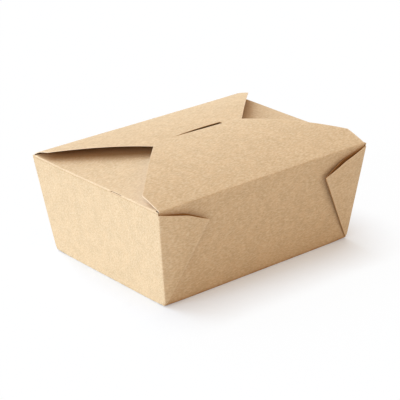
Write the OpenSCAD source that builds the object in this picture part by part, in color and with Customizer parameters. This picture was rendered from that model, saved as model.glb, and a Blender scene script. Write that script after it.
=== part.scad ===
// Kraft board takeaway box, folded from one sheet and closed.
// The front flap's tongue is tucked into a slot in the back flap.
// The origin is the centre of the base, on the table. +X runs along the
// length, and +Y runs from the front flap's fold to the back flap's fold.
// Sizes between folds are measured on the middle layer of the board.

/* [Tray] */
// Length of the base, fold to fold
base_l = 152; // [140:1:160]
// Width of the base, fold to fold
base_w = 112; // [104:1:120]
// Length of the box across the top folds
top_l = 170; // [164:1:190]
// Width of the end walls along their top folds
top_w = 130; // [126:1:140]
// Height of the top folds above the table
box_h = 66.5; // [50:0.5:90]

/* [Board] */
// Thickness of the board
board = 0.45; // [0.35:0.05:0.6]
// Free space kept between layers of board that only rest on each other
lap_gap = 0.3; // [0.2:0.05:0.5]
// How far the long walls and their folds stop short of the end walls
fold_set = 1; // [0.9:0.1:1.5]

/* [Corner webs] */
// Drop of a web's top edge below the top fold, along the box's corner
web_drop = 2; // [1:0.5:5]
// How much shorter a web's fold is than the box's corner
web_short = 7; // [4:0.5:12]
// How far a web's edge bows out between the corner and the fold
web_bow = 2; // [0:0.5:3]
// Angle that a web springs away from the long wall
web_lift = 5; // [3:0.5:8]
// Thickness of a web's two layers, pressed together, in thicknesses of board
web_layers = 2.2; // [2.1:0.1:2.6]

/* [Long flaps] */
// Height of the locked flaps above the top folds
crown_h = 11.5; // [9:0.5:14]
// Slope of the front flap at its fold, above the line to the lock, in degrees
front_slope = 12.9; // [10:0.1:17]
// Slope of the back flap at its fold, above the line to the lock, in degrees
back_slope = 11; // [9:0.1:16]
// Place of the lock line, behind the middle of the box
lock_y = 3; // [0:0.5:6]
// Depth of the square strip of each long flap beside its fold
flap_square = 15.5; // [12:0.5:20]
// Angle between the long flaps' slanted sides and their folds, in degrees
side_cut = 45; // [42:1:48]
// How far the back flap reaches past the lock line
back_reach = 12; // [8:0.5:16]

/* [Lock] */
// Length of the slot in the back flap
slot_l = 44; // [36:1:50]
// Width of the slot in the back flap
slot_w = 2.5; // [1.6:0.1:3.5]
// Space between the tongue and the slot's front edge
slot_clear = 0.5; // [0.4:0.1:0.8]
// Space between the tongue and each end of the slot
tongue_side = 1.6; // [1:0.1:3]
// Length of the tongue below the front flap
tongue_l = 14; // [8:1:20]
// Radius of the tongue's corners
tongue_r = 6; // [3:0.5:8]

/* [End flaps] */
// Length of the end flaps, from the fold
end_flap_l = 62; // [40:1:62]
// Space beside each end flap along its fold
end_flap_side = 2.5; // [1.5:0.5:5]
// How much each side of an end flap tapers towards its free edge
end_flap_taper = 22; // [20:1:28]
// Slope of the end flaps, in degrees
end_flap_rise = 5; // [0:0.5:5.5]
// Length of the cut in one end fold
slit_l = 10.6; // [6:0.2:14]
// Place of the cut, in front of the middle of the fold
slit_y = 24; // [15:1:35]

/* [Hidden] */

// A fold is a little thinner than the board, which the crease has pressed
fold_d = 0.9 * board;
// The rounding of a fold stops this far from the cut edges at its ends
fold_trim = 0.4 * board;
// Space between the front fold and the front flap, which turns about it
hinge_gap = 0.5 * lap_gap;
// Height of the base's middle layer
base_z = board / 2;
// Reach of the cutting shapes past what they cut
over = 1;
// Smoothness of the folds, and of the flaps' large arcs
fold_fn = 24;
arc_fn = 360;
kraft = [0.80, 0.66, 0.48];
kraft_light = [0.86, 0.73, 0.55];

function unit(v) = v / norm(v);
function flip_x(p) = [-p.x, p.y, p.z];
function flip_y(p) = [p.x, -p.y, p.z];

// The long walls stand inside the end walls' edges by the web's two layers
web_t = web_layers * board;
layer_gap = web_t / 2;

// Corners of the tray at +X and -Y: those of the end wall, and those of the
// long wall, at the base and at the top folds
end_base = [base_l / 2, -(base_w / 2 + web_t), base_z];
end_top = [top_l / 2, -top_w / 2, box_h];
wall_base = [base_l / 2 - fold_set, -base_w / 2, base_z];
wall_top = [top_l / 2 - fold_set, -(top_w / 2 - web_t), box_h];

// The four sheet angles that meet at a base corner leave this for the web,
// which folds in half
corner_l = norm(end_top - end_base);
end_flare = asin((top_w - base_w) / 2 / corner_l);
wall_flare = asin((top_l - base_l) / 2 / corner_l);
web_half = (90 - end_flare - wall_flare) / 2;

// Directions in the web's outer layer: up its edge, away from that edge, and
// out of its face
web_up = unit(end_top - end_base);
wall_out = unit(cross(wall_top - wall_base, [-1, 0, 0]));
web_flat = unit(cross(wall_out, web_up));
web_in = web_flat * cos(web_lift) + cross(web_up, web_flat) * sin(web_lift);
web_face = cross(web_up, web_in);
function web_point(l, angle) = end_base + l * (cos(angle) * web_up + sin(angle) * web_in);
web_edge_l = corner_l - web_drop;
web_fold_l = corner_l - web_short;
web_mid_l = (web_edge_l + web_fold_l) / 2 * cos(web_half / 2) + web_bow;
// The web's folds begin this far up the corner, clear of the base
web_start = 2 * web_t;

// Long flaps in section: y and z run from the fold to the lock line
fold_y = top_w / 2 - web_t;
front_run = fold_y + lock_y;
back_run = fold_y - lock_y;
back_h = crown_h - board - lap_gap;
function arc_r(run, rise, slope) = norm([run, rise]) / (2 * sin(slope));
front_root = atan2(crown_h, front_run) + front_slope;
back_root = atan2(back_h, back_run) + back_slope;
front_r = arc_r(front_run, crown_h, front_slope);
back_r = arc_r(back_run, back_h, back_slope);
flap_w = top_l / 2 - fold_set;

// The tongue follows a circle about the front fold, so it slides out of the
// slot as the front flap turns
tongue_arc_r = norm([front_run, crown_h]);
tongue_w = slot_l / 2 - tongue_side;
tongue_top_angle = atan2(crown_h, front_run);
// Where the tongue passes through the back flap, and the middle of the slot
pass_y = sqrt(tongue_arc_r ^ 2 - back_h ^ 2) - fold_y;
slot_y = pass_y - board / 2 - slot_clear + slot_w / 2;

// Draws on the plane of three points, with its origin at the first of them
// and its x axis towards the second
module on_plane(o, a, b) {
    ex = unit(a - o);
    ez = unit(cross(a - o, b - o));
    ey = cross(ez, ex);
    multmatrix([
        [ex.x, ey.x, ez.x, o.x],
        [ex.y, ey.y, ez.y, o.y],
        [ex.z, ey.z, ez.z, o.z],
        [0, 0, 0, 1]
    ]) children();
}

// A flat panel of board whose middle layer has these corners
module panel(corners) {
    o = corners[0];
    ex = unit(corners[1] - o);
    ez = unit(cross(corners[1] - o, corners[2] - o));
    ey = cross(ez, ex);
    on_plane(o, corners[1], corners[2])
        translate([0, 0, -board / 2])
            linear_extrude(board)
                polygon([for (p = corners) [(p - o) * ex, (p - o) * ey]]);
}

// A rounded fold along the line between two points
module fold(a, b, d = fold_d) {
    side = unit(cross(b - a, [0, 1, 1]));
    on_plane(a, a + side, a + cross(unit(b - a), side))
        translate([0, 0, fold_trim])
            cylinder(h = norm(b - a) - 2 * fold_trim, d = d, $fn = fold_fn);
}

// A sheet bent to an arc, which leaves its fold on the X axis at a slope and
// runs to +Y. Its outline is drawn as seen from above.
module bent_sheet(r, slope, outline) {
    intersection() {
        translate([0, r * sin(slope), -r * cos(slope)])
            rotate([0, 90, 0])
                difference() {
                    cylinder(h = top_l, r = r + board / 2, center = true, $fn = arc_fn);
                    cylinder(h = top_l + over, r = r - board / 2, center = true, $fn = arc_fn);
                }
        translate([0, 0, -over])
            linear_extrude(2 * crown_h + over)
                polygon(outline);
    }
}

// Half the width of a long flap at its free edge
function end_w(run) = flap_w - (run - flap_square) / tan(side_cut);

// Outline of a long flap: a square strip at its fold, then slanted sides
function flap_outline(root, run) = [
    [-flap_w, root], [flap_w, root],
    [flap_w, flap_square], [end_w(run), run],
    [-end_w(run), run], [-flap_w, flap_square]
];

module base_panel() {
    linear_extrude(board)
        square([base_l, base_w], center = true);
}

module long_wall() {
    panel([wall_base, wall_top, flip_x(wall_top), flip_x(wall_base)]);
    fold(wall_base, flip_x(wall_base));
    fold(wall_top, flip_x(wall_top));
}

module end_wall() {
    panel([end_base, flip_y(end_base), flip_y(end_top), end_top]);
    fold(end_base, flip_y(end_base));
    fold(end_top, flip_y(end_top));
}

// The sheet between two walls, folded in half and laid on the long wall
module corner_web() {
    start = web_point(web_start, 0);
    edge = web_point(web_edge_l, 0);
    mid = web_point(web_mid_l, web_half / 2);
    tip = web_point(web_fold_l, web_half);
    panel([start, edge, mid, tip]);
    fold(start, edge);
    // The inner layer lies behind the outer one and joins the long wall
    back = -layer_gap * web_face;
    inset = fold_set * web_in;
    panel([start + inset + back, edge + inset + back, mid + back, tip + back]);
    fold(start + back / 2, tip + back / 2, web_t);
    wall_up = unit(wall_top - wall_base);
    fold((start + inset + back + wall_base + wall_up * web_start) / 2,
        (edge + inset + back + wall_base + wall_up * web_edge_l) / 2, web_t);
}

module end_flap() {
    root_w = top_w / 2 - end_flap_side;
    tip_w = root_w - end_flap_taper;
    translate([top_l / 2, 0, box_h])
        rotate([0, end_flap_rise, 0])
            translate([0, 0, -board / 2])
                linear_extrude(board)
                    polygon([[0, -root_w], [0, root_w], [-end_flap_l, tip_w], [-end_flap_l, -tip_w]]);
}

// The cut through one end fold, beside the front corner
module end_slit() {
    translate([-top_l / 2, -slit_y, box_h])
        cube([3 * board, slit_l, 3 * board], center = true);
}

// A slot with rounded corners
module slot_shape() {
    r = slot_w / 4;
    square([slot_l, slot_w - 2 * r], center = true);
    square([slot_l - 2 * r, slot_w], center = true);
    for (sx = [-1, 1], sy = [-1, 1])
        translate([sx * (slot_l / 2 - r), sy * (slot_w / 2 - r)])
            circle(r = r, $fn = fold_fn);
}

module back_flap() {
    difference() {
        translate([0, fold_y, box_h])
            mirror([0, 1, 0])
                bent_sheet(back_r, back_root, flap_outline(0, back_run + back_reach));
        translate([0, slot_y, box_h])
            linear_extrude(2 * crown_h)
                slot_shape();
    }
}

module carton() {
    color(kraft) {
        difference() {
            union() {
                base_panel();
                for (s = [0, 1]) {
                    mirror([0, s, 0]) long_wall();
                    mirror([s, 0, 0]) end_wall();
                    mirror([s, 0, 0]) end_flap();
                }
                for (sx = [0, 1], sy = [0, 1])
                    mirror([sx, 0, 0]) mirror([0, sy, 0]) corner_web();
                back_flap();
            }
            end_slit();
        }
    }
}

// The tongue seen from the front, hanging from its fold
module tongue_shape() {
    low = tongue_r - tongue_l;
    translate([-tongue_w, low]) square([2 * tongue_w, tongue_l - tongue_r + over]);
    translate([tongue_r - tongue_w, -tongue_l]) square([2 * (tongue_w - tongue_r), tongue_l]);
    for (s = [-1, 1])
        translate([s * (tongue_w - tongue_r), low]) circle(r = tongue_r, $fn = 4 * fold_fn);
}

module tongue() {
    // The arc about the front fold, from the lock line down
    intersection() {
        rotate([0, 90, 0])
            difference() {
                cylinder(h = slot_l, r = tongue_arc_r + board / 2, center = true, $fn = arc_fn);
                cylinder(h = slot_l + over, r = tongue_arc_r - board / 2, center = true, $fn = arc_fn);
            }
        rotate([tongue_top_angle, 0, 0])
            translate([0, tongue_arc_r + 2 * over, 0])
                rotate([90, 0, 0])
                    linear_extrude(4 * over)
                        intersection() {
                            tongue_shape();
                            translate([-slot_l, -2 * tongue_l]) square([2 * slot_l, 2 * tongue_l]);
                        }
    }
}

module front_flap() {
    color(kraft_light)
        translate([0, -fold_y, box_h]) {
            bent_sheet(front_r, front_root,
                flap_outline(fold_d / 2 + hinge_gap, front_run));
            tongue();
            fold([-tongue_w, front_run, crown_h], [tongue_w, front_run, crown_h]);
        }
}

carton();
front_flap();
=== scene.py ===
"""Dresses the closed kraft board takeaway box.

The box is one folded sheet. It is drawn here as the board's middle layer, patch by
patch, with rounded folds between the panels, and then given the board's thickness.
Lengths are in millimetres until a finished mesh is scaled to metres.
"""

import logging
import math
from collections.abc import Callable, Sequence
from dataclasses import dataclass
from enum import Enum

import bmesh
import bpy
from mathutils import Matrix, Vector, noise


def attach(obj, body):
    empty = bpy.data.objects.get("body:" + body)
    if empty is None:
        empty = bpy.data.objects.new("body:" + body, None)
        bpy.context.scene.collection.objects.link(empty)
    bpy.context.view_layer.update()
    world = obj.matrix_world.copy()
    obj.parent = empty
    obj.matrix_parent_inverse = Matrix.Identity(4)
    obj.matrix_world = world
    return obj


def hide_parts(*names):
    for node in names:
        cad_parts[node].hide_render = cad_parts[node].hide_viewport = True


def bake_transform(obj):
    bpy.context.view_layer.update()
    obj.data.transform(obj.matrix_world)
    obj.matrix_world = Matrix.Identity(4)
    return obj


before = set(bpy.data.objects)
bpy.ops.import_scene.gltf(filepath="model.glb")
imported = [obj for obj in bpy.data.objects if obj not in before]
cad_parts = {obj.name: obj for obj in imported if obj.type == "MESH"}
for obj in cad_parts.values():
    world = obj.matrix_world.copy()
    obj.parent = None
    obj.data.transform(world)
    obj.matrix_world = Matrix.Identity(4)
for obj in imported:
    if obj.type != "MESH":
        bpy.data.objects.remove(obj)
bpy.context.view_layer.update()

log = logging.getLogger("takeaway_box")

Triple = tuple[float, float, float]
Span = tuple[int, float, float]
Place = Callable[[float, float], Vector]
Tone = Callable[[float, float], float]
Socket = bpy.types.NodeSocket
Tree = bpy.types.NodeTree

MM = 0.001
# Name of the points' tone, which carries painted highlights above zero and painted shade below it
TONE = "painted_light_tone"
# The darkest tone, painted shade of board in a gap
DARKEST_SHADE = -1.0
# Points closer than the first are joined, and edges shorter than the second are dropped
WELD = 0.012
SLIVER = 0.005
# Slack where two shares are compared
TINY = 1e-6
# Share of a long flap's half width past which its side carries a painted highlight
HIGHLIGHT_FROM = 0.987
# A point inside the box, from which every panel's outer side faces away
BOX_MIDDLE = Vector((0.0, 0.0, 30.0))


class Face(Enum):
    """Which finish a face of the sheet carries."""

    OUTSIDE = 0
    INSIDE = 1
    CUT_EDGE = 2


def no_tone(_across: float, _along: float) -> float:
    """The plain board's tone."""
    return 0.0


def painted_shade_tone(_across: float, _along: float) -> float:
    """Tone of a layer in a gap, painted dark as shade."""
    return DARKEST_SHADE


def painted_highlight_sides(across: float, _along: float) -> float:
    """Tone of a long flap, with a painted highlight in a narrow band along its side edges."""
    return ramp((abs(across) - HIGHLIGHT_FROM) / (1 - HIGHLIGHT_FROM))


def steps(count: int, start: float = 0.0, end: float = 1.0) -> list[float]:
    """Evenly spaced values.

    Args:
        count: Number of intervals.
        start: First value.
        end: Last value.

    Returns:
        count + 1 values from start to end.
    """
    return [start + (end - start) * i / count for i in range(count + 1)]


def both_ways(values: Sequence[float]) -> list[float]:
    """Repeats values that start at zero on the other side of zero."""
    return [-value for value in reversed(values[1:])] + list(values)


def ramp(value: float) -> float:
    """Smooth step from 0 to 1 as value goes from 0 to 1."""
    t = max(0.0, min(1.0, value))
    return t * t * (3 - 2 * t)


def turn(before: Vector, corner: Vector, after: Vector, part: float) -> Vector:
    """A point on the rounded fold between two panels.

    Args:
        before: Where the fold's rounding leaves the first panel.
        corner: Where the two panels' planes would meet.
        after: Where the rounding reaches the second panel.
        part: Place along the rounding, from 0 to 1.

    Returns:
        The point.
    """
    return before * (1 - part) ** 2 + corner * 2 * part * (1 - part) + after * part**2


def hairpin(first: Vector, second: Vector, out: Vector, part: float) -> Vector:
    """A point on a fold that turns the sheet back on itself.

    Args:
        first: Edge of the layer that the fold leaves.
        second: Edge of the layer that it reaches.
        out: Direction in which the fold bulges.
        part: Place along the fold, from 0 to 1.

    Returns:
        The point.
    """
    middle = (first + second) / 2
    reach = (first - second).length / 2
    angle = math.pi * part
    return middle + (first - middle) * math.cos(angle) + out * reach * math.sin(angle)


@dataclass(frozen=True)
class BoxSizes:
    """Driving sizes of the folded box, the same as those of its solids, in millimetres."""

    base_l: float = 152.0
    base_w: float = 112.0
    top_l: float = 170.0
    top_w: float = 130.0
    box_h: float = 66.5
    board: float = 0.45
    web_layers: float = 2.2
    fold_set: float = 1.0
    web_drop: float = 2.0
    web_short: float = 7.0
    web_bow: float = 2.0
    web_lift: float = 5.0
    crown_h: float = 11.5
    front_slope: float = 12.9
    back_slope: float = 11.0
    lock_y: float = 3.0
    lap_gap: float = 0.3
    flap_square: float = 15.5
    side_cut: float = 45.0
    back_reach: float = 12.0
    slot_l: float = 44.0
    slot_w: float = 2.5
    slot_clear: float = 0.5
    tongue_side: float = 1.6
    tongue_l: float = 14.0
    tongue_r: float = 6.0
    end_flap_l: float = 62.0
    end_flap_side: float = 2.5
    end_flap_taper: float = 22.0
    end_flap_rise: float = 5.0
    slit_l: float = 10.6
    slit_y: float = 24.0

    @property
    def web_t(self) -> float:
        """Thickness of a web's two layers, pressed together."""
        return self.web_layers * self.board

    @property
    def base_z(self) -> float:
        """Height of the base's middle layer."""
        return self.board / 2

    @property
    def fold_y(self) -> float:
        """Distance of the long walls' top folds from the middle of the box."""
        return self.top_w / 2 - self.web_t

    @property
    def flap_w(self) -> float:
        """Half the length of the long flaps' folds."""
        return self.top_l / 2 - self.fold_set

    @property
    def end_flap_w(self) -> float:
        """Half the length of the end flaps' folds."""
        return self.top_w / 2 - self.end_flap_side

    @property
    def tongue_arc_r(self) -> float:
        """Radius of the tongue's circle about the front flap's fold."""
        return math.hypot(self.fold_y + self.lock_y, self.crown_h)


@dataclass(frozen=True)
class Softness:
    """Roundings, small bows, and tones of painted light and shade that the solids leave out.

    Lengths are in millimetres. Names that end in tone hold tones of painted light and shade,
    wobble_seed starts the noise, and fade, web_inset, web_fold_highlight_w, slot_rest,
    slot_turn, tuck_in, bulge_lean and offset_most are shares.
    """

    fold_r: float = 0.55
    corner_r: float = 0.6
    fade: float = 0.05
    outer_bulge: float = 1.3
    inner_bulge: float = 0.9
    score: float = 1.15
    score_w: float = 0.55
    score_depth: float = 0.1
    slit_open: float = 0.6
    slit_reach: float = 0.3
    web_inset: float = 0.045
    slot_rest: float = 0.75
    slot_spread: float = 2.0
    slot_turn: float = 0.75
    slot_rim: float = 0.35
    slot_margin: float = 1.0
    tuck_in: float = 0.25
    tongue_bend: float = 0.9
    back_bulge: float = 0.85
    bulge_y: float = 7.0
    bulge_lean: float = 0.1
    twist: float = 1.2
    corner_lift: float = 0.7
    corner_lift_size: float = 6.0
    wobble: float = 0.28
    wobble_size: float = 55.0
    wobble_seed: int = 7
    flap_skew: float = 1.45
    offset_most: float = 1.3
    # From here on, tones and sizes of painted highlights and painted shade
    score_shade_tone: float = 0.3
    painted_light_tone: float = 0.35
    web_fold_highlight_tone: float = 0.4
    web_fold_highlight_w: float = 0.4
    pocket_shade_tone: float = 0.7
    pocket_shade_w: float = 2.4
    base_shade_tone: float = 0.16
    base_shade_h: float = 16.0
    contact_shadow_tone: float = 0.8
    contact_shadow_h: float = 0.9
    end_flap_paint_from: float = 0.03
    under_flap_shade_tone: float = 0.9
    under_flap_shade_start: float = 4.0
    under_flap_shade_w: float = 4.0
    front_edge_light_tone: float = 0.7
    front_edge_light_w: float = 6.0


@dataclass(frozen=True)
class Grid:
    """How finely the sheet is divided: numbers of steps, and shares of a width or a height."""

    base_fold: int = 4
    corner_fold: int = 4
    web_fold: int = 6
    flap_fold: int = 6
    web_columns: int = 12
    web_foot: tuple[float, ...] = (0.0, 0.02, 0.035, 0.055, 0.08)
    web_body: Span = (14, 0.12, 0.86)
    web_head: Span = (8, 0.88, 1.0)
    pocket_steps: int = 24
    slot_columns: int = 12
    side_columns: int = 22
    end_columns: int = 30
    even_share: float = 0.93
    wall_sides: tuple[float, ...] = (0.96, 0.98, 0.99, 1.0)
    end_sides: tuple[float, ...] = (0.985, 1.0)
    end_flap_rows: int = 36
    square_rows: int = 8
    back_rows: int = 18
    tuck_rows: int = 5
    front_rows: int = 24
    ear_columns: int = 14
    tongue_columns: int = 24
    tongue_fold: int = 5
    tongue_rows: int = 5
    tongue_corner: int = 8


@dataclass
class Sheet:
    """A sheet of board, drawn as its middle layer and then thickened."""

    name: str
    sizes: BoxSizes
    soft: Softness

    def __post_init__(self) -> None:
        """Starts an empty sheet."""
        self.bm = bmesh.new()
        self.tone = self.bm.verts.layers.float.new(TONE)

    def patch(
        self, across: Sequence[float], along: Sequence[float], place: Place, tone: Tone = no_tone
    ) -> None:
        """Adds a grid of the sheet.

        Args:
            across: Values of the first parameter, one for each column of points.
            along: Values of the second parameter, one for each row of points.
            place: Gives the point for a pair of values.
            tone: Gives the board's tone there, a painted highlight above zero and painted shade
                below it.
        """
        columns, rows = len(across) - 1, len(along) - 1
        # A new grid is 1 wide around its centre, so its points lie between -0.5 and 0.5
        made = bmesh.ops.create_grid(self.bm, x_segments=columns, y_segments=rows, size=0.5)
        for vert in made["verts"]:
            i = round((vert.co.x + 0.5) * columns)
            j = round((vert.co.y + 0.5) * rows)
            vert.co = place(across[i], along[j])
            vert[self.tone] = tone(across[i], along[j])

    def weld(self) -> None:
        """Joins the patches where their edges meet, and drops what has no area."""
        bmesh.ops.remove_doubles(self.bm, verts=self.bm.verts, dist=WELD)
        bmesh.ops.dissolve_degenerate(self.bm, edges=self.bm.edges, dist=SLIVER)

    def mirror(self, axis: str) -> None:
        """Repeats the sheet on the other side of the box's middle plane.

        Args:
            axis: The axis that the plane is square to, "X" or "Y".
        """
        everything = self.bm.verts[:] + self.bm.edges[:] + self.bm.faces[:]
        bmesh.ops.mirror(
            self.bm, geom=everything, matrix=Matrix.Identity(4), merge_dist=WELD, axis=axis
        )

    def settle(self) -> None:
        """Gives the flat panels the slight unevenness of folded board."""
        s, soft = self.sizes, self.soft
        noise.seed_set(soft.wobble_seed)
        base_corner = Vector((s.base_l / 2, s.base_w / 2, s.base_z))
        for vert in self.bm.verts:
            share = min(1.0, vert.co.z / s.flap_square)
            push = noise.noise_vector(vert.co / soft.wobble_size, noise_basis="PERLIN_ORIGINAL")
            away = Vector((abs(vert.co.x), abs(vert.co.y), vert.co.z)) - base_corner
            vert.co += push * soft.wobble * share
            right, back = vert.co.x / s.top_l + 0.5, vert.co.y / s.top_w + 0.5
            vert.co.z += soft.twist * right * back * vert.co.z / s.box_h
            vert.co.z += soft.corner_lift * math.exp(-away.length / soft.corner_lift_size)

    def thicken(self) -> None:
        """Gives the middle layer the board's thickness, half of it to each side."""
        bm, board, most = self.bm, self.sizes.board, self.soft.offset_most
        bmesh.ops.recalc_face_normals(bm, faces=bm.faces)
        widest = max(bm.faces, key=lambda face: face.calc_area())
        if widest.normal.dot(widest.calc_center_median() - BOX_MIDDLE) < 0:
            bmesh.ops.reverse_faces(bm, faces=bm.faces)
        bm.normal_update()
        moves = [v.normal * min(v.calc_shell_factor(), most) * board / 2 for v in bm.verts]
        for vert, move in zip(bm.verts, moves):
            vert.co += move
        outer = set(bm.verts)
        bmesh.ops.solidify(bm, geom=bm.faces[:], thickness=board)
        for face in bm.faces:
            ahead = [vert in outer for vert in face.verts]
            kind = Face.OUTSIDE if all(ahead) else Face.CUT_EDGE if any(ahead) else Face.INSIDE
            face.material_index = kind.value
            face.smooth = True
        for edge in bm.edges:
            kinds = {face.material_index for face in edge.link_faces}
            edge.smooth = len(kinds) == 1

    def finish(self, finishes: Sequence[bpy.types.Material]) -> bpy.types.Object:
        """Makes the sheet an object with the board's thickness.

        Args:
            finishes: Materials, in the order of the kinds of faces.

        Returns:
            The object, in metres.
        """
        self.settle()
        self.thicken()
        bmesh.ops.scale(self.bm, vec=(MM, MM, MM), verts=self.bm.verts)
        mesh = bpy.data.meshes.new(self.name)
        self.bm.to_mesh(mesh)
        self.bm.free()
        for material in finishes:
            mesh.materials.append(material)
        piece = bpy.data.objects.new(self.name, mesh)
        bpy.context.scene.collection.objects.link(piece)
        shading = piece.modifiers.new("flat_panels", "WEIGHTED_NORMAL")
        shading.keep_sharp = True
        return piece


@dataclass
class LongFlap:
    """Section and outline of a long flap, measured from its fold."""

    sizes: BoxSizes
    run: float
    rise: float
    slope: float

    def __post_init__(self) -> None:
        """Works out the section's arc, whose slope at the fold is above the line to the lock."""
        above = math.radians(self.slope)
        start = math.atan2(self.rise, self.run) + above
        self.radius = math.hypot(self.run, self.rise) / (2 * math.sin(above))
        self.centre_y = self.radius * math.sin(start)
        self.centre_z = -self.radius * math.cos(start)

    def height(self, y: float) -> float:
        """Height of the flap above its fold, at a distance from it as seen from above."""
        return self.centre_z + math.sqrt(self.radius**2 - (y - self.centre_y) ** 2)

    def half_width(self, y: float) -> float:
        """Half the flap's width at a distance from its fold."""
        s = self.sizes
        return s.flap_w - max(0.0, y - s.flap_square) / math.tan(math.radians(s.side_cut))


@dataclass
class Part:
    """What every part of the box is drawn from."""

    sizes: BoxSizes
    soft: Softness
    grid: Grid


@dataclass
class Walls(Part):
    """The flared walls, as the one corner at +X and -Y that the other three repeat.

    A place along a wall goes from 0 at its middle to 1 at its side, and a place up it,
    called high, from 0 at its base to 1 at its top fold.
    """

    def __post_init__(self) -> None:
        """Works out the corner's length and direction."""
        s = self.sizes
        base = Vector((s.base_l / 2, -s.base_w / 2 - s.web_t, s.base_z))
        top = Vector((s.top_l / 2, -s.top_w / 2, s.box_h))
        self.corner_l = (top - base).length
        self.up = (top - base).normalized()
        self.rim = 1.0 - self.soft.fold_r / self.corner_l

    def fade(self, high: float) -> float:
        """How fully the layers at the corner have parted, from 0 at the base."""
        return ramp(high / self.soft.fade)

    def level(self, high: float) -> float:
        """Height above the table."""
        return self.sizes.base_z + (self.sizes.box_h - self.sizes.base_z) * high

    def end_edge(self, high: float) -> Vector:
        """Point on the end wall's side edge.

        Args:
            high: Place up the wall.

        Returns:
            The point.
        """
        s = self.sizes
        out = (s.top_l - s.base_l) / 2 * high
        side = ((s.top_w - s.base_w) / 2 - s.web_t) * high + s.web_t * self.fade(high)
        return Vector((s.base_l / 2 + out, -s.base_w / 2 - side, self.level(high)))

    def wall_edge(self, high: float) -> Vector:
        """Point on the long wall's side edge.

        Args:
            high: Place up the wall.

        Returns:
            The point.
        """
        s = self.sizes
        out = (s.top_l - s.base_l) / 2 * high - s.fold_set * self.fade(high)
        side = ((s.top_w - s.base_w) / 2 - s.web_t) * high
        return Vector((s.base_l / 2 + out, -s.base_w / 2 - side, self.level(high)))

    def corner_r(self, high: float) -> float:
        """Radius of the rounding between the end wall and the web."""
        return self.soft.corner_r * self.fade(high)

    def score(self, high: float) -> float:
        """How deep a place is in the end wall's score line, from 0 beside it to 1 in it."""
        away = (1.0 - high) * self.corner_l - self.soft.score
        return max(0.0, 1 - abs(away) / self.soft.score_w)

    def end_point(self, along: float, high: float) -> Vector:
        """Point on the end wall, which has a shallow score line below its top fold.

        Args:
            along: Place along the wall.
            high: Place up the wall.

        Returns:
            The point.
        """
        edge = self.end_edge(high)
        groove = self.soft.score_depth * self.score(high)
        return Vector((edge.x - groove, along * (edge.y + self.corner_r(high)), edge.z))

    def end_tone(self, _along: float, high: float) -> float:
        """Tone of the end wall, with painted shade along the score line."""
        return -self.soft.score_shade_tone * self.score(high)

    def wall_point(self, along: float, high: float) -> Vector:
        """Point on the long wall."""
        edge = self.wall_edge(high)
        return Vector((along * edge.x, edge.y, edge.z))

    def flap_fold(self, along: float, part: float, flap: Vector, side: int) -> Vector:
        """Point on the rounded fold between a long wall and its flap.

        Args:
            along: Place along the fold, from -1 to 1.
            part: Place along the rounding, from 0 at the wall to 1 at the flap.
            flap: Where the rounding reaches the flap.
            side: 1 at the front wall and -1 at the back wall.

        Returns:
            The point.
        """
        ends = (self.wall_point(along, self.rim), self.wall_point(along, 1.0))
        wall, corner = (Vector((end.x, side * end.y, end.z)) for end in ends)
        return turn(wall, corner, flap, part)


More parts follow.
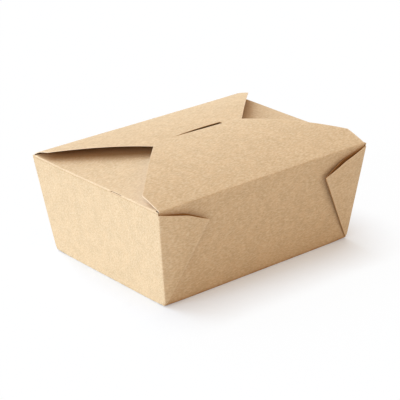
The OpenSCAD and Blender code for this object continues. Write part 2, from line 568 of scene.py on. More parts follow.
@dataclass
class Web(Part):
    """A corner's web, folded in half and laid against the long wall.

    A place across the web goes from 0 at the box's corner to 1 at the web's own fold, and
    a place up it, called high, from 0 at its apex on the base to 1 at its top edge.
    """

    walls: Walls

    def __post_init__(self) -> None:
        """Works out the web's angle and directions, and the rows of points up it."""
        s, grid, walls = self.sizes, self.grid, self.walls
        flare_x, flare_y = (s.top_l - s.base_l) / 2, (s.top_w - s.base_w) / 2
        wall_rise = Vector((flare_x, s.web_t - flare_y, s.box_h - s.base_z))
        flares = math.asin(flare_y / walls.corner_l) + math.asin(flare_x / walls.corner_l)
        self.half = (math.pi / 2 - flares) / 2
        wall_out = wall_rise.cross(Vector((-1, 0, 0))).normalized()
        flat = wall_out.cross(walls.up).normalized()
        lift = math.radians(s.web_lift)
        self.inward = flat * math.cos(lift) + walls.up.cross(flat) * math.sin(lift)
        self.face = walls.up.cross(self.inward)
        self.fold_out = self.inward * math.cos(self.half) - walls.up * math.sin(self.half)
        self.edge_share = (walls.corner_l - s.web_drop) / walls.corner_l
        self.rows = [*grid.web_foot, *steps(*grid.web_body), *steps(*grid.web_head)]

    def top(self, across: float) -> Vector:
        """Point on the web's top edge, measured from its apex.

        Args:
            across: Place across the web.

        Returns:
            The point.
        """
        s, half, up = self.sizes, self.half, self.walls.up
        edge_l, fold_l = self.walls.corner_l - s.web_drop, self.walls.corner_l - s.web_short
        mid_l = (edge_l + fold_l) / 2 * math.cos(half / 2) + s.web_bow
        ends = [(edge_l, 0.0), (mid_l, half / 2), (fold_l, half)]
        points = [
            up * reach * math.cos(angle) + self.inward * reach * math.sin(angle)
            for reach, angle in ends
        ]
        first, part = (0, 2 * across) if across < 0.5 else (1, 2 * across - 1)
        return points[first].lerp(points[first + 1], part)

    def plane(self, across: float, high: float) -> Vector:
        """Point on the web's plane."""
        reach = self.top(across * (1 - self.soft.web_inset)) - self.top(0.0)
        return self.walls.end_edge(high * self.edge_share) + high * reach

    def outer(self, across: float, high: float) -> Vector:
        """Point on the web's outer layer, which bulges a little.

        Args:
            across: Place across the web.
            high: Place up the web.

        Returns:
            The point.
        """
        bulge = self.soft.outer_bulge * high * math.sin(math.pi * across)
        inset = self.walls.corner_r(high * self.edge_share) * (1 - across)
        return self.plane(across, high) + self.face * bulge + self.inward * inset

    def inner(self, across: float, high: float) -> Vector:
        """Point on the web's inner layer.

        Args:
            across: Place across the web.
            high: Place up the web.

        Returns:
            The point.
        """
        parted = self.walls.fade(high * self.edge_share)
        bulge = self.soft.inner_bulge * high * math.sin(math.pi * across)
        back = self.sizes.web_t / 2 * parted + bulge
        inset = self.sizes.fold_set * parted * (1 - across)
        return self.plane(across, high) - self.face * back + self.inward * inset

    def corner(self, part: float, high: float) -> Vector:
        """Point on the rounding between the end wall and the outer layer.

        Args:
            part: Place along the rounding.
            high: Place up the web.

        Returns:
            The point.
        """
        up_wall = high * self.edge_share
        before = self.walls.end_point(1, up_wall)
        return turn(before, self.walls.end_edge(up_wall), self.outer(0, high), part)

    def own_fold(self, part: float, high: float) -> Vector:
        """Point on the fold between the web's two layers."""
        return hairpin(self.outer(1, high), self.inner(1, high), self.fold_out, part)

    def wall_fold(self, part: float, high: float) -> Vector:
        """Point on the fold between the inner layer and the long wall."""
        edge = self.walls.wall_edge(high * self.edge_share)
        return hairpin(self.inner(0, high), edge, -self.inward, part)

    def outer_tone(self, across: float, _high: float) -> float:
        """Tone of the outer layer, with a painted highlight at its fold."""
        return self.soft.web_fold_highlight_tone if across == 1 else 0.0

    def own_fold_tone(self, part: float, _high: float) -> float:
        """Tone of the web's fold, from a painted highlight to painted shade."""
        painted_highlight = self.soft.web_fold_highlight_tone
        return painted_highlight + (DARKEST_SHADE - painted_highlight) * ramp(part / self.soft.web_fold_highlight_w)

    def draw(self, sheet: Sheet) -> None:
        """Draws the outer layer, the fold, the inner layer and the fold to the wall.

        Args:
            sheet: The sheet that the web belongs to.
        """
        across, fold = steps(self.grid.web_columns), steps(self.grid.web_fold)
        sheet.patch(steps(self.grid.corner_fold), self.rows, self.corner)
        sheet.patch(across, self.rows, self.outer, self.outer_tone)
        sheet.patch(fold, self.rows, self.own_fold, self.own_fold_tone)
        # The inner layer and its fold to the wall carry painted shade
        sheet.patch(across, self.rows, self.inner, painted_shade_tone)
        sheet.patch(fold, self.rows, self.wall_fold, painted_shade_tone)


@dataclass
class EndFlap(Part):
    """Half of an end flap, its fold and the cut edge of the wall beside it."""

    walls: Walls

    def point(self, along: float, out: float) -> Vector:
        """Point on the flap.

        Args:
            along: Place along the flap's fold, on the end wall's own scale.
            out: Place from the fold to the flap's free edge, from 0 to 1.

        Returns:
            The point.
        """
        s, r = self.sizes, self.soft.fold_r
        start = self.walls.end_point(along, 1.0)
        side = start.y * (1 - out * s.end_flap_taper / s.end_flap_w)
        rise = math.radians(s.end_flap_rise)
        ahead = Vector((-math.cos(rise), 0, math.sin(rise)))
        return Vector((start.x, side, start.z)) + ahead * (r + out * (s.end_flap_l - r))

    def fold(self, along: float, part: float) -> Vector:
        """Point on the flap's fold."""
        before = self.walls.end_point(along, self.walls.rim)
        return turn(before, self.walls.end_point(along, 1.0), self.point(along, 0.0), part)

    def painted_light_tone(self, _along: float, part: float) -> float:
        """Tone of the flap's fold, a painted highlight along its middle."""
        return self.soft.painted_light_tone * math.sin(math.pi * part)

    def draw(self, sheet: Sheet, columns: Sequence[float], flap_share: float) -> None:
        """Draws the half flap.

        Args:
            sheet: The sheet that the flap belongs to.
            columns: Places along the end wall, one for each column of points.
            flap_share: The place among them at which the flap's side starts.
        """
        on_flap = [along for along in columns if along <= flap_share + TINY]
        beside = [along for along in columns if along >= flap_share - TINY]
        sheet.patch(on_flap, steps(self.grid.flap_fold), self.fold, self.painted_light_tone)
        sheet.patch(on_flap, steps(self.grid.end_flap_rows), self.point)
        sheet.patch(beside, [self.walls.rim, 1.0], self.walls.end_point)


@dataclass
class BackFlap(Part):
    """The back flap and its fold, with the slot for the front flap's tongue.

    A place along the flap goes from -1 to 1, and y is the distance from its fold.
    """

    walls: Walls

    def __post_init__(self) -> None:
        """Sets out the flap's arc, and the slot where the tongue passes through it."""
        s = self.sizes
        rise = s.crown_h - s.board - s.lap_gap
        self.arc = LongFlap(s, s.fold_y - s.lock_y, rise, s.back_slope)
        self.slot_share = s.slot_l / 2 / s.flap_w
        tongue_y = math.sqrt(s.tongue_arc_r**2 - rise**2) - s.fold_y
        self.front = s.fold_y - (tongue_y - s.board / 2 - s.slot_clear)
        self.behind = self.front - s.slot_w

    def slot_gap(self, x: float) -> float:
        """Width of the slot, which the tongue pushes open towards +X.

        Args:
            x: Distance from the slot's middle.

        Returns:
            The width.
        """
        s, soft = self.sizes, self.soft
        pushed = math.sin(math.pi * soft.slot_turn * (x / s.slot_l + 0.5))
        return s.slot_w * soft.slot_rest + soft.slot_spread * pushed

    def slot_edge(self, x: float, y: float) -> float:
        """The distance y, moved for a row along the slot's far edge to give its width."""
        along_edge = self.behind - self.soft.slot_rim <= y <= self.behind
        return y - self.behind + self.front - self.slot_gap(x) if along_edge else y

    def tone(self, along: float, y: float) -> float:
        """Tone of the flap, with painted shade at the slot's edges and a painted highlight at its
        sides.
        """
        at_slot = y in (self.behind, self.front) and abs(along) <= self.slot_share
        return DARKEST_SHADE if at_slot else painted_highlight_sides(along, y)

    def surface(self, x: float, y: float) -> Vector:
        """Point on the flap, which bulges beside its fold and most at -X.

        Args:
            x: Distance from the box's middle.
            y: Distance from the fold.

        Returns:
            The point.
        """
        s, soft = self.sizes, self.soft
        near_fold = y / soft.bulge_y * math.exp(1 - y / soft.bulge_y)
        bulge = soft.back_bulge * near_fold * (1 - soft.bulge_lean * x / s.flap_w)
        return Vector((x, s.fold_y - y, s.box_h + self.arc.height(y) + bulge))

    def point(self, along: float, y: float) -> Vector:
        """Point on the flap, whose middle columns run between the slot's ends.

        Args:
            along: Place along the flap.
            y: Distance from the fold.

        Returns:
            The point.
        """
        s, soft = self.sizes, self.soft
        past_slot = ramp((y - self.front - soft.slot_margin) / s.back_reach)
        inner = s.slot_l / 2 * (1 - soft.tuck_in * past_slot)
        if abs(along) <= self.slot_share:
            x = along / self.slot_share * inner
            return self.surface(x, self.slot_edge(x, y))
        share = (abs(along) - self.slot_share) / (1 - self.slot_share)
        x = inner + share * (self.arc.half_width(y) - inner)
        return self.surface(math.copysign(x, along), y)

    def fold(self, along: float, part: float) -> Vector:
        """Point on the flap's fold."""
        start = self.surface(along * self.sizes.flap_w, self.soft.fold_r)
        return self.walls.flap_fold(along, part, start, side=-1)

    def draw(self, sheet: Sheet, columns: Sequence[float]) -> None:
        """Draws the flap.

        Args:
            sheet: The sheet that the flap belongs to.
            columns: Places along the flap, one for each column of points.
        """
        s, soft, grid, behind, front = self.sizes, self.soft, self.grid, self.behind, self.front
        clear = soft.slot_spread + soft.slot_margin
        far = self.arc.run + s.back_reach
        rows = steps(grid.square_rows, soft.fold_r, s.flap_square)
        rows += steps(grid.back_rows, s.flap_square, behind - clear)[1:]
        rows += [behind - soft.slot_rim, behind, front, front + soft.slot_rim]
        rows += steps(grid.tuck_rows, front + soft.slot_margin, far)
        middle = [along for along in columns if abs(along) <= self.slot_share]
        side = [along for along in columns if along >= self.slot_share]
        sheet.patch(middle, [y for y in rows if y <= behind], self.point, self.tone)
        sheet.patch(middle, [y for y in rows if y >= front], self.point, self.tone)
        sheet.patch(side, rows, self.point, self.tone)
        sheet.patch([-along for along in side], rows, self.point, self.tone)
        sheet.patch(columns, steps(grid.flap_fold), self.fold, painted_highlight_sides)


@dataclass
class Carton(Part):
    """The folded sheet up to the front flap's fold: tray, webs, end flaps and back flap."""

    def __post_init__(self) -> None:
        """Sets out the sheet's parts, and the rows and columns of points on the walls."""
        s, grid = self.sizes, self.grid
        kit = (s, self.soft, grid)
        self.sheet = Sheet("folded_carton", s, self.soft)
        self.walls = Walls(*kit)
        self.web = Web(*kit, self.walls)
        self.end_flap = EndFlap(*kit, self.walls)
        self.back_flap = BackFlap(*kit, self.walls)
        self.rows = [high * self.web.edge_share for high in self.web.rows[1:]] + [self.walls.rim]
        slot_share = self.back_flap.slot_share
        beside = slot_share + self.soft.slot_rim / s.flap_w
        self.columns = steps(grid.slot_columns, 0.0, slot_share)
        self.columns += steps(grid.side_columns, beside, grid.even_share)
        self.columns += grid.wall_sides

    def round_fold(self, along: float) -> float:
        """Radius of a base fold, which fades to nothing at the base's corners."""
        return self.soft.fold_r * ramp((1 - along) / self.soft.fade)

    def foot(self, along: float, high: float) -> float:
        """A place up a wall, where 0 stands for the top of the base fold's rounding."""
        return high or self.round_fold(along) / self.walls.corner_l

    def end_wall(self, along: float, high: float) -> Vector:
        """Point on the end wall above its base fold."""
        return self.walls.end_point(along, self.foot(along, high))

    def long_wall(self, along: float, high: float) -> Vector:
        """Point on the long wall above its base fold."""
        return self.walls.wall_point(along, self.foot(along, high))

    def base(self, along_wall: float, along_end: float) -> Vector:
        """Point on the base, from its middle to the roundings of its folds.

        Args:
            along_wall: Place along the long walls.
            along_end: Place along the end walls.

        Returns:
            The point.
        """
        s = self.sizes
        x = along_wall * (s.base_l / 2 - self.round_fold(along_end))
        y = -along_end * (s.base_w / 2 - self.round_fold(along_wall))
        return Vector((x, y, s.base_z))

    def end_base(self, along: float, part: float) -> Vector:
        """Point on the rounding between the base and the end wall.

        Args:
            along: Place along the wall.
            part: Place along the rounding.

        Returns:
            The point.
        """
        s = self.sizes
        corner = Vector((s.base_l / 2, -along * s.base_w / 2, s.base_z))
        return turn(self.base(1, along), corner, self.end_wall(along, 0.0), part)

    def wall_base(self, along: float, part: float) -> Vector:
        """Point on the rounding between the base and the long wall.

        Args:
            along: Place along the wall.
            part: Place along the rounding.

        Returns:
            The point.
        """
        s = self.sizes
        corner = Vector((along * s.base_l / 2, -s.base_w / 2, s.base_z))
        return turn(self.base(along, 1), corner, self.long_wall(along, 0.0), part)

    def wall_tone(self, along: float, high: float) -> float:
        """Tone of the long wall, with painted shade in the pocket behind a web and towards the
        base, and a painted contact shadow along the base.

        Args:
            along: Place along the wall.
            high: Place up the wall.

        Returns:
            The tone, from 0 down to the darkest painted shade.
        """
        soft = self.soft
        up = high * self.walls.corner_l
        # Painted shade towards the base
        low = soft.base_shade_tone * math.exp(-up / soft.base_shade_h)
        # Painted contact shadow along the base
        low += soft.contact_shadow_tone * math.exp(-up / soft.contact_shadow_h)
        # Painted shade in the pocket behind the web's top edge
        place = self.walls.wall_point(along, high)
        web_edge = [self.web.plane(across, 1.0) for across in steps(self.grid.pocket_steps)]
        away = min((edge - place).length for edge in web_edge)
        return max(DARKEST_SHADE, -low - soft.pocket_shade_tone * math.exp(-((away / soft.pocket_shade_w) ** 2)))

    def wall_base_tone(self, along: float, part: float) -> float:
        """Tone of the rounding between the base and the long wall."""
        return self.wall_tone(along, part * self.soft.fold_r / self.walls.corner_l)

    def build_tray(self) -> None:
        """Draws the quarter of the tray at +X and -Y, and repeats it on the other sides."""
        s, soft, grid, sheet, walls = self.sizes, self.soft, self.grid, self.sheet, self.walls
        flap_share = s.end_flap_w / (s.top_w / 2)
        slit = [(s.slit_y + side * s.slit_l / 2) / (s.top_w / 2) for side in (-1, 1)]
        even = steps(grid.end_columns, 0.0, grid.even_share)
        end_columns = sorted([*even, *slit, flap_share, *grid.end_sides])
        score = [1 - (soft.score + side * soft.score_w) / walls.corner_l for side in (1, 0)]
        end_rows = sorted([*self.rows[:-1], *score, walls.rim])
        base_fold = steps(grid.base_fold)
        sheet.patch(self.columns, end_columns, self.base)
        sheet.patch(end_columns, base_fold, self.end_base)
        sheet.patch(self.columns, base_fold, self.wall_base, self.wall_base_tone)
        sheet.patch(end_columns, [0.0, *end_rows], self.end_wall, walls.end_tone)
        sheet.patch(self.columns, [0.0, *self.rows], self.long_wall, self.wall_tone)
        self.web.draw(sheet)
        self.end_flap.draw(sheet, end_columns, flap_share)
        sheet.weld()
        sheet.mirror("Y")
        sheet.mirror("X")

    def paint_end_flap_light_and_shade(self) -> None:
        """Paints shade on the end flaps under the back flap's sides, and paints light on them
        beside the front flap's sides.
        """
        s, soft = self.sizes, self.soft
        square_on = math.sin(math.radians(s.side_cut))
        for vert in self.sheet.bm.verts:
            x, y, z = vert.co
            if z < s.box_h + soft.end_flap_paint_from:
                continue
            away = (abs(x) - self.back_flap.arc.half_width(s.fold_y - abs(y))) * square_on
            if y > 0:
                away = max(0.0, away + soft.under_flap_shade_start)
                # Painted shade under the back flap's side edge
                vert[self.sheet.tone] -= soft.under_flap_shade_tone * math.exp(-away / soft.under_flap_shade_w)
            else:
                # Painted light that lifts the shade beside the front flap's side edge
                vert[self.sheet.tone] += soft.front_edge_light_tone * math.exp(-max(0.0, away) / soft.front_edge_light_w)

    def cut_slit(self) -> None:
        """Opens the short cut in the fold of the end wall at -X."""
        s, soft = self.sizes, self.soft
        cut = []
        for face in self.sheet.bm.faces:
            centre = face.calc_center_median()
            at_fold = centre.x < soft.slit_reach - s.top_l / 2
            at_top = s.box_h - soft.slit_open < centre.z < s.box_h
            if at_fold and at_top and abs(centre.y + s.slit_y) < s.slit_l / 2:
                cut.append(face)
        bmesh.ops.delete(self.sheet.bm, geom=cut, context="FACES")
        log.info("slit: %d faces", len(cut))

    def build(self) -> None:
        """Draws the whole sheet."""
        self.build_tray()
        self.paint_end_flap_light_and_shade()
        self.back_flap.draw(self.sheet, both_ways(self.columns))
        self.sheet.weld()
        self.cut_slit()

    def dress(self, finishes: Sequence[bpy.types.Material]) -> None:
        """Makes the sheet a piece that takes the carton's place.

        Args:
            finishes: Materials, in the order of the kinds of faces.
        """
        piece = self.sheet.finish(finishes)
        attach(piece, "carton")
        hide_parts("carton")
        log.info("carton: %d faces", len(piece.data.polygons))


@dataclass
class FrontFlap(Part):
    """The front flap with its tongue, and the fold that joins it to the front wall.

    A place along the flap goes from -1 to 1, and y is the distance from its fold.
    """

    walls: Walls

    def __post_init__(self) -> None:
        """Sets out the flap's arc, and where its tongue starts."""
        s = self.sizes
        self.sheet = Sheet("tongue_flap", s, self.soft)
        self.arc = LongFlap(s, s.fold_y + s.lock_y, s.crown_h, s.front_slope)
        self.bend_y = self.arc.run - self.soft.tongue_bend
        self.tongue_share = self.tongue_w(0.0) / self.arc.half_width(self.bend_y)

    def skew(self, x: float, share: float) -> float:
        """How far the flap's free edge slants, at a share of the flap's run."""
        return -x / self.arc.half_width(self.arc.run) * self.soft.flap_skew * share**2

    def surface(self, x: float, y: float) -> Vector:
        """Point on the flap.

        Args:
            x: Distance from the box's middle.
            y: Distance from the fold.

        Returns:
            The point.
        """
        s = self.sizes
        skew = self.skew(x, y / self.arc.run)
        return Vector((x, y + skew - s.fold_y, s.box_h + self.arc.height(y)))

    def tongue_surface(self, x: float, drop: float) -> Vector:
        """Point on the tongue, which follows a circle about the flap's fold.

        Args:
            x: Distance from the box's middle.
            drop: Distance below the lock line, along the circle.

        Returns:
            The point.
        """
        s, arc_r = self.sizes, self.sizes.tongue_arc_r
        angle = math.atan2(s.crown_h, self.arc.run) - drop / arc_r
        skew = self.skew(x, ramp(1 - drop / s.tongue_l))
        y = arc_r * math.cos(angle) - s.fold_y
        return Vector((x, y + skew, s.box_h + arc_r * math.sin(angle)))

    def tongue_w(self, drop: float) -> float:
        """Half the tongue's width, with its corners rounded.

        Args:
            drop: Distance below the lock line.

        Returns:
            The half width.
        """
        s = self.sizes
        below = max(0.0, drop - (s.tongue_l - s.tongue_r))
        return s.slot_l / 2 - s.tongue_side - s.tongue_r + math.sqrt(s.tongue_r**2 - below**2)

    def fold(self, along: float, part: float) -> Vector:
        """Point on the flap's fold."""
        start = self.surface(along * self.sizes.flap_w, self.soft.fold_r)
        return self.walls.flap_fold(along, part, start, side=1)

    def point(self, along: float, y: float) -> Vector:
        """Point on the flap up to where the tongue's bend starts."""
        return self.surface(along * self.arc.half_width(y), y)

    def ear(self, along: float, y: float) -> Vector:
        """Point on the flap's end beside the tongue.

        Args:
            along: Place along the flap.
            y: Distance from the fold.

        Returns:
            The point.
        """
        start = self.tongue_w(0.0)
        share = (abs(along) - self.tongue_share) / (1 - self.tongue_share)
        x = start + share * (self.arc.half_width(y) - start)
        return self.surface(math.copysign(x, along), y)

    def tongue(self, along: float, drop: float) -> Vector:
        """Point on the tongue."""
        return self.tongue_surface(along / self.tongue_share * self.tongue_w(drop), drop)

    def tongue_fold(self, along: float, part: float) -> Vector:
        """Point on the bend between the flap and its tongue.

        Args:
            along: Place along the flap.
            part: Place along the bend.

        Returns:
            The point.
        """
        x = along / self.tongue_share * self.tongue_w(0.0)
        after = self.tongue_surface(x, self.soft.tongue_bend)
        return turn(self.surface(x, self.bend_y), self.surface(x, self.arc.run), after, part)

    def build(self) -> None:
        """Draws the flap, its ears and its tongue."""
        s, soft, grid, sheet = self.sizes, self.soft, self.grid, self.sheet
        middle = both_ways(steps(grid.tongue_columns, 0.0, self.tongue_share))
        right = steps(grid.ear_columns, self.tongue_share, HIGHLIGHT_FROM) + [1.0]
        left = [-along for along in right]
        columns = sorted({*middle, *right, *left})
        rows = steps(grid.square_rows, soft.fold_r, s.flap_square)
        rows += steps(grid.front_rows, s.flap_square, self.bend_y)[1:]
        drops = steps(grid.tongue_rows, soft.tongue_bend, s.tongue_l - s.tongue_r)
        for angle in steps(grid.tongue_corner, 0, math.pi / 2)[1:]:
            drops.append(s.tongue_l - s.tongue_r * (1 - math.sin(angle)))
        sheet.patch(columns, steps(grid.flap_fold), self.fold, painted_highlight_sides)
        sheet.patch(columns, rows, self.point, painted_highlight_sides)
        for side in (right, left):
            sheet.patch(side, [self.bend_y, self.arc.run], self.ear, painted_highlight_sides)
        sheet.patch(middle, steps(grid.tongue_fold), self.tongue_fold)
        sheet.patch(middle, drops, self.tongue)
        sheet.weld()

    def dress(self, finishes: Sequence[bpy.types.Material]) -> None:
        """Makes the sheet a piece that takes the flap's place.

        Args:
            finishes: Materials, in the order of the kinds of faces.
        """
        piece = self.sheet.finish(finishes)
        below = self.walls.wall_point(0, self.walls.rim) * MM
        above = self.surface(0, self.soft.fold_r) * MM
        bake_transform(piece)
        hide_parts("front_flap")
        log.info("front flap: %d faces", len(piece.data.polygons))


@dataclass(frozen=True)
class Rise:
    """A share that rises from 0 at one value to its most at another."""

    start: float
    end: float
    most: float


class Graph:
    """A material's nodes, added one by one."""

    def __init__(self, name: str) -> None:
        """Starts the material.

        Args:
            name: The material's name.
        """
        self.material = bpy.data.materials.new(name)
        self.material.use_nodes = True
        self.nodes = self.material.node_tree.nodes
        self.links = self.material.node_tree.links
        self.shader = self.nodes["Principled BSDF"]
        self.place = self.nodes.new("ShaderNodeTexCoord")

    def join(self, start: Socket, end: Socket) -> None:
        """Links two sockets."""
        self.links.new(start, end)

    def colour(self, value: Triple) -> Socket:
        """Adds a plain colour.

        Args:
            value: The colour.

        Returns:
            The colour's socket.
        """
        node = self.nodes.new("ShaderNodeRGB")
        node.outputs[0].default_value = (*value, 1.0)
        return node.outputs[0]

    def attribute(self, name: str) -> Socket:
        """Adds a value that the mesh's points carry.

        Args:
            name: The value's name on the mesh.

        Returns:
            The value's socket.
        """
        node = self.nodes.new("ShaderNodeAttribute")
        node.attribute_name = name
        return node.outputs["Fac"]

    def cloud(self, scale: float, detail: float, stretch: Triple, turned: Triple) -> Socket:
        """Adds noise in the object's own space.

        Args:
            scale: How many features fit in a metre.
            detail: Octaves of finer noise.
            stretch: Scale along each axis, below 1 where the features are long.
            turned: Rotation of the features, in radians.

        Returns:
            The noise's value, about 0.5 on average.
        """
        mapping = self.nodes.new("ShaderNodeMapping")
        mapping.vector_type = "POINT"
        mapping.inputs["Rotation"].default_value = turned
        mapping.inputs["Scale"].default_value = stretch
        texture = self.nodes.new("ShaderNodeTexNoise")
        texture.inputs["Scale"].default_value = scale
        texture.inputs["Detail"].default_value = detail
        self.join(self.place.outputs["Object"], mapping.inputs["Vector"])
        self.join(mapping.outputs["Vector"], texture.inputs["Vector"])
        return texture.outputs["Fac"]

    def share(self, value: Socket, rise: Rise) -> Socket:
        """Adds a share that rises with a value.

        Args:
            value: The value.
            rise: Where the share starts and ends.

        Returns:
            The share's socket.
        """
        node = self.nodes.new("ShaderNodeMapRange")
        node.inputs["From Min"].default_value = rise.start
        node.inputs["From Max"].default_value = rise.end
        node.inputs["To Max"].default_value = rise.most
        self.join(value, node.inputs["Value"])
        return node.outputs["Result"]

    def mix(self, value: Socket, rise: Rise, first: Socket, second: Triple) -> Socket:
        """Mixes a plain colour into a colour, by a share that rises with a value.

        Args:
            value: The value.
            rise: Where the share starts and ends.
            first: The colour that is there.
            second: The colour that is mixed in.

        Returns:
            The mixed colour's socket.
        """
        share = self.share(value, rise)
        node = self.nodes.new("ShaderNodeMix")
        node.data_type = "RGBA"
        self.join(share, node.inputs["Factor"])
        self.join(first, node.inputs["A"])
        node.inputs["B"].default_value = (*second, 1.0)
        return node.outputs["Result"]

    def bump(self, height: Socket, strength: float, depth: float) -> None:
        """Gives the surface a fine tooth.

        Args:
            height: The tooth's pattern.
            strength: How much of it shows.
            depth: How deep it is, in metres.
        """
        node = self.nodes.new("ShaderNodeBump")
        node.inputs["Strength"].default_value = strength
        node.inputs["Distance"].default_value = depth
        self.join(height, node.inputs["Height"])
        self.join(node.outputs["Normal"], self.shader.inputs["Normal"])


@dataclass(frozen=True)
class KraftFinish:
    """Unbleached kraft board: tone, mottling, fibres, specks and tooth, with painted highlights
    and painted shade from the points' tone.
    """

    name: str = "kraft_board"
    tone: Triple = (0.717, 0.538, 0.323)
    shade: Triple = (0.575, 0.43, 0.25)
    light: Triple = (0.807, 0.68, 0.47)
    speck: Triple = (0.46, 0.30, 0.16)
    painted_highlight: Triple = (0.93, 0.78, 0.58)
    painted_shade: Triple = (0.38, 0.175, 0.045)
    roughness: float = 0.75
    specular: float = 0.30
    mottle_scale: float = 150.0
    mottle_detail: float = 5.0
    mottle_rise: Rise = Rise(0.38, 0.70, 0.5)
    fibre_scale: float = 1150.0
    fibre_stretch: Triple = (0.4, 1.0, 1.0)
    fibre_turns: tuple[Triple, ...] = ((0.5, 0.3, 0.3), (0.9, -0.6, 1.4), (-0.7, 0.8, 2.5))
    pale_fibre_rise: Rise = Rise(0.54, 0.72, 0.45)
    dark_fibre_rise: Rise = Rise(0.44, 0.28, 0.45)
    speck_scale: float = 1500.0
    speck_stretch: Triple = (0.5, 1.0, 1.0)
    speck_turn: Triple = (0.3, 0.2, 0.8)
    speck_rise: Rise = Rise(0.66, 0.76, 0.6)
    fine_detail: float = 1.0
    painted_highlight_rise: Rise = Rise(0.0, 1.0, 0.45)
    painted_shade_rise: Rise = Rise(0.0, DARKEST_SHADE, 0.9)
    bump: float = 0.2
    bump_depth: float = 0.0001

    def make(self) -> bpy.types.Material:
        """Builds the node material.

        Returns:
            The material.
        """
        graph = Graph(self.name)
        shader = graph.shader
        shader.inputs["Roughness"].default_value = self.roughness
        shader.inputs["Specular IOR Level"].default_value = self.specular
        colour = graph.colour(self.tone)
        mottle = graph.cloud(self.mottle_scale, self.mottle_detail, (1.0,) * 3, (0.0,) * 3)
        colour = graph.mix(mottle, self.mottle_rise, colour, self.shade)
        tooth = []
        for turned in self.fibre_turns:
            fibre = graph.cloud(self.fibre_scale, self.fine_detail, self.fibre_stretch, turned)
            colour = graph.mix(fibre, self.pale_fibre_rise, colour, self.light)
            colour = graph.mix(fibre, self.dark_fibre_rise, colour, self.shade)
            tooth.append(fibre)
        specks = graph.cloud(
            self.speck_scale, self.fine_detail, self.speck_stretch, self.speck_turn
        )
        colour = graph.mix(specks, self.speck_rise, colour, self.speck)
        tone = graph.attribute(TONE)
        # Painted highlight where the tone is above zero, painted shade where it is below
        colour = graph.mix(tone, self.painted_highlight_rise, colour, self.painted_highlight)
        colour = graph.mix(tone, self.painted_shade_rise, colour, self.painted_shade)
        graph.join(colour, shader.inputs["Base Color"])
        graph.bump(tooth[0], self.bump, self.bump_depth)
        return graph.material


FINISHES = {
    Face.OUTSIDE: KraftFinish(),
    Face.INSIDE: KraftFinish(
        name="kraft_inside",
        tone=(0.60, 0.38, 0.19),
        shade=(0.48, 0.30, 0.14),
        light=(0.70, 0.50, 0.30),
        specular=0.2,
    ),
    Face.CUT_EDGE: KraftFinish(
        name="kraft_cut_edge", tone=(0.84, 0.66, 0.44), shade=(0.76, 0.58, 0.37), roughness=0.9
    ),
}


def maths(tree: Tree, operation: str, first: Socket, second: Socket | float) -> Socket:
    """Adds a node that works out a number from two.

    Args:
        tree: The nodes to add it to.
        operation: What it works out.
        first: The first number's socket.
        second: The second number, or its socket.

    Returns:
        The result's socket.
    """
    node = tree.nodes.new("ShaderNodeMath")
    node.operation = operation
    tree.links.new(first, node.inputs[0])
    if isinstance(second, float):
        node.inputs[1].default_value = second
    else:
        tree.links.new(second, node.inputs[1])
    return node.outputs[0]


def show(tree: Tree, share: Socket, first: Socket, second: Socket, output: str) -> None:
    """Shows a mix of two shaders.

    Args:
        tree: The nodes that hold them.
        share: How much of the second shader shows.
        first: The first shader.
        second: The second shader.
        output: Name of the node that shows the mix.
    """
    mix = tree.nodes.new("ShaderNodeMixShader")
    tree.links.new(share, mix.inputs["Fac"])
    tree.links.new(first, mix.inputs[1])
    tree.links.new(second, mix.inputs[2])
    tree.links.new(mix.outputs[0], tree.nodes[output].inputs["Surface"])


def seen(tree: Tree) -> Socket:
    """Adds a number that is 1 to the camera and in gloss or glass, and 0 elsewhere.

    Args:
        tree: The nodes to add it to.

    Returns:
        The number's socket.
    """
    path = tree.nodes.new("ShaderNodeLightPath")
    total = path.outputs["Is Camera Ray"]
    for name in ("Is Glossy Ray", "Is Transmission Ray"):
        total = maths(tree, "MAXIMUM", total, path.outputs[name])
    return total


@dataclass(frozen=True)
class Lamp:
    """A far, soft light: where it comes from, its strength, its colour and its spread."""

    name: str
    source: Triple
    strength: float
    colour: Triple
    angle: float

    def add(self) -> None:
        """Adds the lamp to the scene."""
        lamp = bpy.data.lights.new(self.name, "SUN")
        lamp.energy = self.strength
        lamp.color = self.colour
        lamp.angle = math.radians(self.angle)
        source = bpy.data.objects.new(self.name, lamp)
        source.rotation_euler = Vector(self.source).to_track_quat("Z", "Y").to_euler()
        bpy.context.scene.collection.objects.link(source)


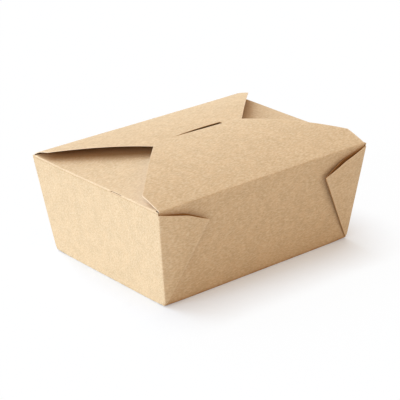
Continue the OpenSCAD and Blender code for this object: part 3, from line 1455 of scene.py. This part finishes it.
@dataclass(frozen=True)
class Studio:
    """Floor, light and camera, in metres and degrees."""

    azimuth: float = -39.2776
    elevation: float = 22.4447
    roll: float = -1.2288
    distance: float = 0.98406
    lens: float = 136.76
    sensor_w: float = 36.0
    view_end: float = 20.0
    aim: Triple = (-0.00119, -0.00038, 0.03164)
    floor_size: float = 6.0
    floor_colour: Triple = (0.86, 0.93, 1.0)
    floor_roughness: float = 0.9
    floor_specular: float = 0.0
    floor_lift: float = 0.95
    floor_bounce: Triple = (0.8, 0.8, 0.8)
    shadow_w: float = 0.045
    shadow_from: float = 0.5
    shadow_lift: float = 0.45
    shadow_power: float = 2.0
    sky: float = 0.58
    sky_colour: Triple = (1.27, 1.0, 0.79)
    lamps: tuple[Lamp, ...] = (
        Lamp(
            name="window",
            source=(-1.0, 0.1, 0.25),
            strength=1.76,
            colour=(0.81, 1.0, 1.24),
            angle=28.0,
        ),
        Lamp(
            name="rear_window",
            source=(-0.15, 0.8, 0.75),
            strength=1.7,
            colour=(0.81, 1.0, 1.23),
            angle=50.0,
        ),
    )

    def light(self) -> None:
        """Adds the sky, which is white where it is seen, and the lamps."""
        world = bpy.data.worlds.new("studio")
        world.use_nodes = True
        tree = world.node_tree
        sky = tree.nodes["Background"]
        sky.inputs["Color"].default_value = (*self.sky_colour, 1.0)
        sky.inputs["Strength"].default_value = self.sky
        white = tree.nodes.new("ShaderNodeBackground")
        white.inputs["Color"].default_value = (1.0, 1.0, 1.0, 1.0)
        show(tree, seen(tree), sky.outputs[0], white.outputs[0], "World Output")
        bpy.context.scene.world = world
        for lamp in self.lamps:
            lamp.add()

    def openness(self, tree: Tree) -> Socket:
        """Adds how open the floor is: little beside what stands on it, and 1 away from it.

        Args:
            tree: The floor's nodes.

        Returns:
            The share's socket.
        """
        near = tree.nodes.new("ShaderNodeAmbientOcclusion")
        near.inputs["Distance"].default_value = self.shadow_w
        spread = tree.nodes.new("ShaderNodeMapRange")
        spread.inputs["From Min"].default_value = self.shadow_from
        spread.inputs["To Min"].default_value = self.shadow_lift
        tree.links.new(near.outputs["AO"], spread.inputs["Value"])
        return maths(tree, "POWER", spread.outputs["Result"], self.shadow_power)

    def floor_finish(self) -> bpy.types.Material:
        """Makes the floor's material, which is lifted towards white where it is seen.

        Returns:
            The material.
        """
        material = bpy.data.materials.new("floor")
        material.use_nodes = True
        tree = material.node_tree
        shader = tree.nodes["Principled BSDF"]
        shader.inputs["Roughness"].default_value = self.floor_roughness
        shader.inputs["Specular IOR Level"].default_value = self.floor_specular
        tint = tree.nodes.new("ShaderNodeMix")
        tint.data_type = "RGBA"
        tint.inputs["A"].default_value = (*self.floor_bounce, 1.0)
        tint.inputs["B"].default_value = (*self.floor_colour, 1.0)
        tree.links.new(seen(tree), tint.inputs["Factor"])
        tree.links.new(tint.outputs["Result"], shader.inputs["Base Color"])
        glow = tree.nodes.new("ShaderNodeEmission")
        lift = maths(tree, "MULTIPLY", seen(tree), self.floor_lift)
        lift = maths(tree, "MULTIPLY", lift, self.openness(tree))
        show(tree, lift, shader.outputs[0], glow.outputs[0], "Material Output")
        return material

    def floor(self) -> None:
        """Lays the pale floor."""
        bm = bmesh.new()
        bmesh.ops.create_grid(bm, x_segments=1, y_segments=1, size=self.floor_size / 2)
        mesh = bpy.data.meshes.new("floor")
        bm.to_mesh(mesh)
        bm.free()
        mesh.materials.append(self.floor_finish())
        ground = bpy.data.objects.new("floor", mesh)
        bpy.context.scene.collection.objects.link(ground)

    def camera(self) -> None:
        """Places the camera at the photograph's viewing angle."""
        turned = (math.radians(angle) for angle in (self.azimuth, self.elevation, self.roll))
        azimuth, elevation, roll = turned
        out = math.cos(elevation)
        back = Vector((out * math.sin(azimuth), -out * math.cos(azimuth), math.sin(elevation)))
        right = (-back).cross(Vector((0, 0, 1))).normalized()
        up = right.cross(-back)
        tilted = right * math.cos(roll) + up * math.sin(roll)
        upright = up * math.cos(roll) - right * math.sin(roll)
        lens = bpy.data.cameras.new("camera")
        lens.lens = self.lens
        lens.sensor_width = self.sensor_w
        lens.clip_end = self.view_end
        view = bpy.data.objects.new("camera", lens)
        facing = Matrix((tilted, upright, back)).transposed().to_4x4()
        view.matrix_world = Matrix.Translation(Vector(self.aim) + back * self.distance) @ facing
        bpy.context.scene.collection.objects.link(view)
        bpy.context.scene.camera = view


def main() -> None:
    """Builds the studio and the box."""
    logging.basicConfig(level=logging.INFO, format="%(message)s")
    bpy.context.scene.view_settings.view_transform = "Standard"
    studio = Studio()
    studio.camera()
    studio.light()
    studio.floor()
    finishes = [FINISHES[face].make() for face in Face]
    kit = (BoxSizes(), Softness(), Grid())
    carton = Carton(*kit)
    carton.build()
    carton.dress(finishes)
    front_flap = FrontFlap(*kit, carton.walls)
    front_flap.build()
    front_flap.dress(finishes)


if __name__ == "__main__":
    main()
